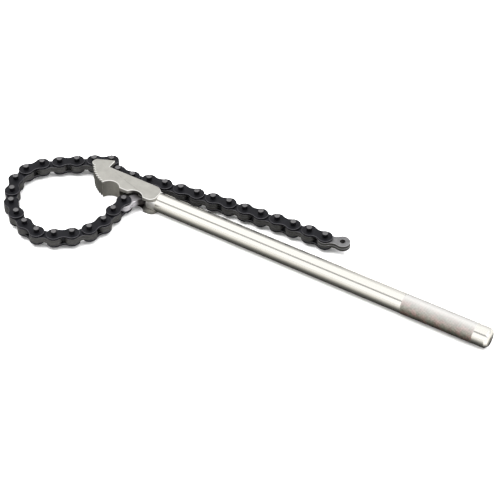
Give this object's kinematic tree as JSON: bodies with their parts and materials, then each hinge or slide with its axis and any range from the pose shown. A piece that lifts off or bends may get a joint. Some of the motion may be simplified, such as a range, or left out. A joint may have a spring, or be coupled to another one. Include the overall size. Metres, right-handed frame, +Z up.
{
  "type": "chain pipe wrench",
  "caption": "Chain pipe wrench: round bar handle with a knurled grip, toothed two-cheek head, and a leaf chain pinned in the head that loops round a pipe and hooks over the head.",
  "frame": {"origin": "middle of the part's box, on the surface that the wrench lies on", "axes": "+X along the handle from the head to the grip, +Y to the side where the chain hooks over the head, +Z up"},
  "size_m": [0.5533, 0.1732, 0.022],
  "materials": {
    "bar": "polished nickel plate",
    "head": "matte plated forging",
    "anchor": "bright zinc plate",
    "outer_plate": "oiled black oxide",
    "inner_plate": "oiled black oxide",
    "pin": "oiled dark steel"
  },
  "bodies": {
    "head_and_handle": {"handle_bar": "bar", "upper_cheek": "head", "lower_cheek": "head", "jaw_block": "head", "anchor_pin": "head"},
    "anchor": {"anchor_link": "anchor"},
    "outer_link_01": {"outer_plates_01": "outer_plate", "chain_pins_01": "pin"},
    "inner_link_01": {"inner_plates_01": "inner_plate"},
    "outer_link_02": {"outer_plates_02": "outer_plate", "chain_pins_02": "pin"},
    "inner_link_02": {"inner_plates_02": "inner_plate"},
    "outer_link_03": {"outer_plates_03": "outer_plate", "chain_pins_03": "pin"},
    "inner_link_03": {"inner_plates_03": "inner_plate"},
    "outer_link_04": {"outer_plates_04": "outer_plate", "chain_pins_04": "pin"},
    "inner_link_04": {"inner_plates_04": "inner_plate"},
    "outer_link_05": {"outer_plates_05": "outer_plate", "chain_pins_05": "pin"},
    "inner_link_05": {"inner_plates_05": "inner_plate"},
    "outer_link_06": {"outer_plates_06": "outer_plate", "chain_pins_06": "pin"},
    "inner_link_06": {"inner_plates_06": "inner_plate"},
    "outer_link_07": {"outer_plates_07": "outer_plate", "chain_pins_07": "pin"},
    "inner_link_07": {"inner_plates_07": "inner_plate"},
    "outer_link_08": {"outer_plates_08": "outer_plate", "chain_pins_08": "pin"},
    "inner_link_08": {"inner_plates_08": "inner_plate"},
    "outer_link_09": {"outer_plates_09": "outer_plate", "chain_pins_09": "pin"},
    "inner_link_09": {"inner_plates_09": "inner_plate"},
    "outer_link_10": {"outer_plates_10": "outer_plate", "chain_pins_10": "pin"},
    "inner_link_10": {"inner_plates_10": "inner_plate"},
    "outer_link_11": {"outer_plates_11": "outer_plate", "chain_pins_11": "pin"},
    "inner_link_11": {"inner_plates_11": "inner_plate"},
    "outer_link_12": {"outer_plates_12": "outer_plate", "chain_pins_12": "pin"},
    "inner_link_12": {"inner_plates_12": "inner_plate"},
    "outer_link_13": {"outer_plates_13": "outer_plate", "chain_pins_13": "pin"},
    "inner_link_13": {"inner_plates_13": "inner_plate"},
    "outer_link_14": {"outer_plates_14": "outer_plate", "chain_pins_14": "pin"},
    "inner_link_14": {"inner_plates_14": "inner_plate"},
    "outer_link_15": {"outer_plates_15": "outer_plate", "chain_pins_15": "pin"},
    "inner_link_15": {"inner_plates_15": "inner_plate"},
    "outer_link_16": {"outer_plates_16": "outer_plate", "chain_pins_16": "pin"},
    "inner_link_16": {"inner_plates_16": "inner_plate"}
  },
  "joints": [
    {"name": "anchor_turn", "type": "hinge", "parent": "head_and_handle", "child": "anchor", "pos_m": [-0.13835, 0.03022, 0.011], "axis": [0, 0, 1], "range_deg": [-8, 0]},
    {"name": "pin_01_turn", "type": "hinge", "parent": "anchor", "child": "outer_link_01", "pos_m": [-0.14799, 0.01045, 0.011], "axis": [0, 0, 1], "range_deg": [-10, 0]},
    {"name": "pin_02_turn", "type": "hinge", "parent": "outer_link_01", "child": "inner_link_01", "pos_m": [-0.14866, -0.00859, 0.011], "axis": [0, 0, 1], "range_deg": [-12, 0]},
    {"name": "pin_03_turn", "type": "hinge", "parent": "inner_link_01", "child": "outer_link_02", "pos_m": [-0.14799, -0.02763, 0.011], "axis": [0, 0, 1], "range_deg": [-14, 0]},
    {"name": "pin_04_turn", "type": "hinge", "parent": "outer_link_02", "child": "inner_link_02", "pos_m": [-0.15388, -0.04575, 0.011], "axis": [0, 0, 1], "range_deg": [-16, 0]},
    {"name": "pin_05_turn", "type": "hinge", "parent": "inner_link_02", "child": "outer_link_03", "pos_m": [-0.16535, -0.06096, 0.011], "axis": [0, 0, 1], "range_deg": [-20, 0]},
    {"name": "pin_06_turn", "type": "hinge", "parent": "outer_link_03", "child": "inner_link_03", "pos_m": [-0.18056, -0.07243, 0.011], "axis": [0, 0, 1], "range_deg": [-20, 0]},
    {"name": "pin_07_turn", "type": "hinge", "parent": "inner_link_03", "child": "outer_link_04", "pos_m": [-0.19868, -0.07831, 0.011], "axis": [0, 0, 1], "range_deg": [0, 20]},
    {"name": "pin_08_turn", "type": "hinge", "parent": "outer_link_04", "child": "inner_link_04", "pos_m": [-0.21731, -0.07435, 0.011], "axis": [0, 0, 1], "range_deg": [0, 20]},
    {"name": "pin_09_turn", "type": "hinge", "parent": "inner_link_04", "child": "outer_link_05", "pos_m": [-0.23443, -0.066, 0.011], "axis": [0, 0, 1], "range_deg": [0, 16]},
    {"name": "pin_10_turn", "type": "hinge", "parent": "outer_link_05", "child": "inner_link_05", "pos_m": [-0.24965, -0.05454, 0.011], "axis": [0, 0, 1], "range_deg": [0, 14]},
    {"name": "pin_11_turn", "type": "hinge", "parent": "inner_link_05", "child": "outer_link_06", "pos_m": [-0.2603, -0.03874, 0.011], "axis": [0, 0, 1], "range_deg": [0, 12]},
    {"name": "pin_12_turn", "type": "hinge", "parent": "outer_link_06", "child": "inner_link_06", "pos_m": [-0.26835, -0.02148, 0.011], "axis": [0, 0, 1], "range_deg": [0, 10]},
    {"name": "pin_13_turn", "type": "hinge", "parent": "inner_link_06", "child": "outer_link_07", "pos_m": [-0.26835, -0.00243, 0.011], "axis": [0, 0, 1], "range_deg": [0, 8]},
    {"name": "pin_14_turn", "type": "hinge", "parent": "outer_link_07", "child": "inner_link_07", "pos_m": [-0.25883, 0.01407, 0.011], "axis": [0, 0, 1], "range_deg": [0, 16]},
    {"name": "pin_15_turn", "type": "hinge", "parent": "inner_link_07", "child": "outer_link_08", "pos_m": [-0.24445, 0.02657, 0.011], "axis": [0, 0, 1], "range_deg": [0, 16]},
    {"name": "pin_16_turn", "type": "hinge", "parent": "outer_link_08", "child": "inner_link_08", "pos_m": [-0.22904, 0.03776, 0.011], "axis": [0, 0, 1], "range_deg": [0, 16]},
    {"name": "pin_17_turn", "type": "hinge", "parent": "inner_link_08", "child": "outer_link_09", "pos_m": [-0.21343, 0.04869, 0.011], "axis": [0, 0, 1], "range_deg": [0, 16]},
    {"name": "pin_18_turn", "type": "hinge", "parent": "outer_link_09", "child": "inner_link_09", "pos_m": [-0.19693, 0.05822, 0.011], "axis": [0, 0, 1], "range_deg": [0, 16]},
    {"name": "pin_19_turn", "type": "hinge", "parent": "inner_link_09", "child": "outer_link_10", "pos_m": [-0.18114, 0.04756, 0.011], "axis": [0, 0, 1], "range_deg": [0, 20]},
    {"name": "pin_20_turn", "type": "hinge", "parent": "outer_link_10", "child": "inner_link_10", "pos_m": [-0.16209, 0.0479, 0.011], "axis": [0, 0, 1], "range_deg": [0, 20]},
    {"name": "pin_21_turn", "type": "hinge", "parent": "inner_link_10", "child": "outer_link_11", "pos_m": [-0.14369, 0.05283, 0.011], "axis": [0, 0, 1], "range_deg": [0, 20]},
    {"name": "pin_22_turn", "type": "hinge", "parent": "outer_link_11", "child": "inner_link_11", "pos_m": [-0.12483, 0.05548, 0.011], "axis": [0, 0, 1], "range_deg": [0, 20]},
    {"name": "pin_23_turn", "type": "hinge", "parent": "inner_link_11", "child": "outer_link_12", "pos_m": [-0.10592, 0.0578, 0.011], "axis": [0, 0, 1], "range_deg": [0, 20]},
    {"name": "pin_24_turn", "type": "hinge", "parent": "outer_link_12", "child": "inner_link_12", "pos_m": [-0.08706, 0.06045, 0.011], "axis": [0, 0, 1], "range_deg": [0, 20]},
    {"name": "pin_25_turn", "type": "hinge", "parent": "inner_link_12", "child": "outer_link_13", "pos_m": [-0.06819, 0.0631, 0.011], "axis": [0, 0, 1], "range_deg": [0, 20]},
    {"name": "pin_26_turn", "type": "hinge", "parent": "outer_link_13", "child": "inner_link_13", "pos_m": [-0.04928, 0.06542, 0.011], "axis": [0, 0, 1], "range_deg": [0, 20]},
    {"name": "pin_27_turn", "type": "hinge", "parent": "inner_link_13", "child": "outer_link_14", "pos_m": [-0.03028, 0.06675, 0.011], "axis": [0, 0, 1], "range_deg": [0, 20]},
    {"name": "pin_28_turn", "type": "hinge", "parent": "outer_link_14", "child": "inner_link_14", "pos_m": [-0.0113, 0.06841, 0.011], "axis": [0, 0, 1], "range_deg": [0, 20]},
    {"name": "pin_29_turn", "type": "hinge", "parent": "inner_link_14", "child": "outer_link_15", "pos_m": [0.00764, 0.0704, 0.011], "axis": [0, 0, 1], "range_deg": [0, 20]},
    {"name": "pin_30_turn", "type": "hinge", "parent": "outer_link_15", "child": "inner_link_15", "pos_m": [0.02665, 0.07173, 0.011], "axis": [0, 0, 1], "range_deg": [-3, 20]},
    {"name": "pin_31_turn", "type": "hinge", "parent": "inner_link_15", "child": "outer_link_16", "pos_m": [0.04567, 0.07273, 0.011], "axis": [0, 0, 1], "range_deg": [-6, 20]},
    {"name": "pin_32_turn", "type": "hinge", "parent": "outer_link_16", "child": "inner_link_16", "pos_m": [0.06472, 0.07306, 0.011], "axis": [0, 0, 1], "range_deg": [-30, 60]}
  ],
  "couplings": [
    {"joint": "anchor_turn", "follows": "pin_13_turn", "ratio": -1},
    {"joint": "pin_01_turn", "follows": "pin_12_turn", "ratio": -1},
    {"joint": "pin_02_turn", "follows": "pin_11_turn", "ratio": -1},
    {"joint": "pin_03_turn", "follows": "pin_10_turn", "ratio": -1},
    {"joint": "pin_04_turn", "follows": "pin_09_turn", "ratio": -1},
    {"joint": "pin_05_turn", "follows": "pin_08_turn", "ratio": -1},
    {"joint": "pin_06_turn", "follows": "pin_07_turn", "ratio": -1}
  ]
}
